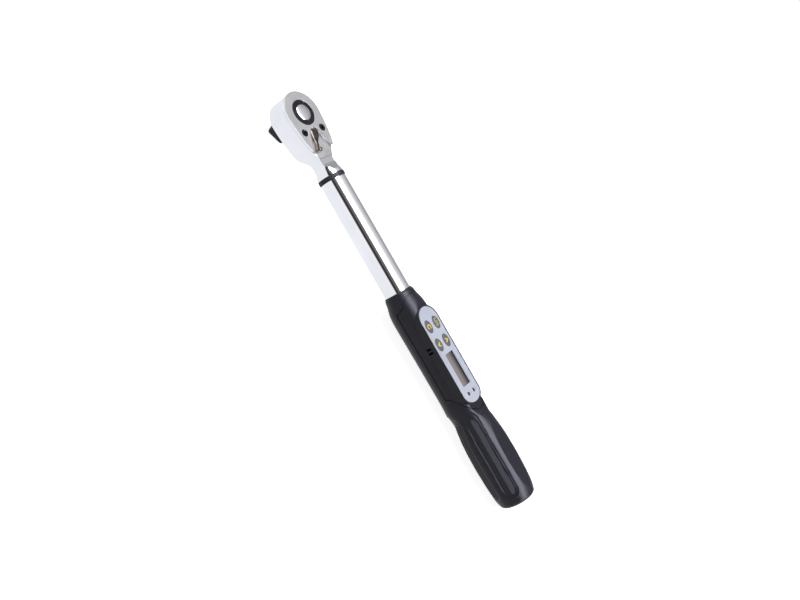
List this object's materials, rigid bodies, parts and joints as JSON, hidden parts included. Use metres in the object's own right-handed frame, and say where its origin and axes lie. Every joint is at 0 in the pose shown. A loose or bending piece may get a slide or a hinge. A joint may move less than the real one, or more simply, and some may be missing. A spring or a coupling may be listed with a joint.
{
  "type": "torque wrench",
  "caption": "Digital ratchet torque wrench: chrome teardrop head with reversing lever and quick release, round tube, waisted black handle with keypad and display.",
  "frame": {"origin": "middle of the square drive's end face, under its protective cap", "axes": "+X along the wrench towards the handle, +Z from the drive up through the head and out of the panel, +Y to complete a right-handed frame"},
  "size_m": [0.4154, 0.042, 0.0502],
  "materials": {
    "chrome": "polished",
    "plate": "satin chrome",
    "steel": "machined",
    "black_steel": "black oxide",
    "black_plastic": "satin moulded",
    "rubber": "matt",
    "panel": "satin film",
    "key": "soft touch",
    "glass": "clear",
    "display": "unlit display",
    "board": "laminate",
    "wire": "insulated",
    "foil": "film",
    "cell": "wrapped can",
    "brass": "plated",
    "led": "dark lens"
  },
  "bodies": {
    "wrench": {"ratchet_head": "chrome", "head_pin": "steel", "head_cover": "plate", "cover_screw_1": "black_steel", "cover_screw_2": "black_steel", "collar_ring": "rubber", "tube": "chrome", "tube_pin": "steel", "torque_beam": "steel", "gauge_1": "foil", "gauge_2": "foil", "gauge_cable": "wire", "tube_seal": "rubber", "handle_body": "black_plastic", "front_cover": "black_plastic", "panel_overlay": "panel", "switch_1": "black_plastic", "switch_2": "black_plastic", "switch_3": "black_plastic", "switch_4": "black_plastic", "display_window": "glass", "display_module": "display", "led_1": "led", "led_2": "led", "circuit_board": "board", "buzzer": "black_plastic", "case_screw_1": "steel", "case_screw_2": "steel", "case_screw_3": "steel", "case_screw_4": "steel", "contact_board": "board", "cell_1": "cell", "cell_2": "cell", "cell_spring_1": "brass", "cell_spring_2": "brass", "power_cable": "wire"},
    "drive": {"drive_gear": "chrome", "gear_collar": "black_steel", "release_spring": "steel"},
    "release": {"release_button": "chrome"},
    "ball": {"detent_ball": "steel"},
    "drive_cap": {"drive_cap": "rubber"},
    "lever": {"reverse_lever": "chrome", "pawl_plunger": "brass"},
    "pawl": {"pawl": "steel"},
    "key_clear": {"key_clear": "key"},
    "key_units": {"key_units": "key"},
    "key_down": {"key_down": "key"},
    "key_up": {"key_up": "key"},
    "cap_seal": {"cap_seal": "rubber"},
    "battery_cap": {"battery_cap": "black_plastic", "cap_contact": "brass"}
  },
  "joints": [
    {"name": "drive_spin", "type": "hinge", "parent": "wrench", "child": "drive", "pos_m": [0, 0, 0], "axis": [0, 0, 1], "continuous": true},
    {"name": "release_press", "type": "slide", "parent": "drive", "child": "release", "axis": [0, 0, -1], "range_m": [0, 0.003], "stiffness_N_per_m": 900, "springref_m": -0.002, "deforming": ["release_spring"]},
    {"name": "ball_retract", "type": "slide", "parent": "drive", "child": "ball", "axis": [-0.4195, 0.9078, 0], "range_m": [0, 0.001]},
    {"name": "drive_cap_pull", "type": "slide", "parent": "drive", "child": "drive_cap", "axis": [0, 0, -1], "range_m": [0, 0.022]},
    {"name": "lever_turn", "type": "hinge", "parent": "wrench", "child": "lever", "pos_m": [0.0201, 0, 0.0247], "axis": [0, 0, 1], "range_deg": [0, 40.6]},
    {"name": "pawl_rock", "type": "hinge", "parent": "wrench", "child": "pawl", "pos_m": [0.0201, 0, 0.0247], "axis": [0, 0, 1], "range_deg": [-16, 0]},
    {"name": "key_clear_press", "type": "slide", "parent": "wrench", "child": "key_clear", "axis": [0, 0, -1], "range_m": [0, 0.0005], "stiffness_N_per_m": 400, "springref_m": -0.0005},
    {"name": "key_units_press", "type": "slide", "parent": "wrench", "child": "key_units", "axis": [0, 0, -1], "range_m": [0, 0.0005], "stiffness_N_per_m": 400, "springref_m": -0.0005},
    {"name": "key_down_press", "type": "slide", "parent": "wrench", "child": "key_down", "axis": [0, 0, -1], "range_m": [0, 0.0005], "stiffness_N_per_m": 400, "springref_m": -0.0005},
    {"name": "key_up_press", "type": "slide", "parent": "wrench", "child": "key_up", "axis": [0, 0, -1], "range_m": [0, 0.0005], "stiffness_N_per_m": 400, "springref_m": -0.0005},
    {"name": "battery_cap_travel", "type": "slide", "parent": "wrench", "child": "cap_seal", "axis": [1, 0, 0], "range_m": [0, 0.0105]},
    {"name": "battery_cap_turn", "type": "hinge", "parent": "cap_seal", "child": "battery_cap", "pos_m": [0.388, 0, 0.0263], "axis": [1, 0, 0], "range_deg": [0, 1260]}
  ],
  "couplings": [
    {"joint": "ball_retract", "follows": "release_press", "ratio": 0.3333},
    {"joint": "pawl_rock", "follows": "lever_turn", "ratio": -0.394},
    {"joint": "battery_cap_travel", "follows": "battery_cap_turn", "m_per_rad": 0.000477}
  ]
}
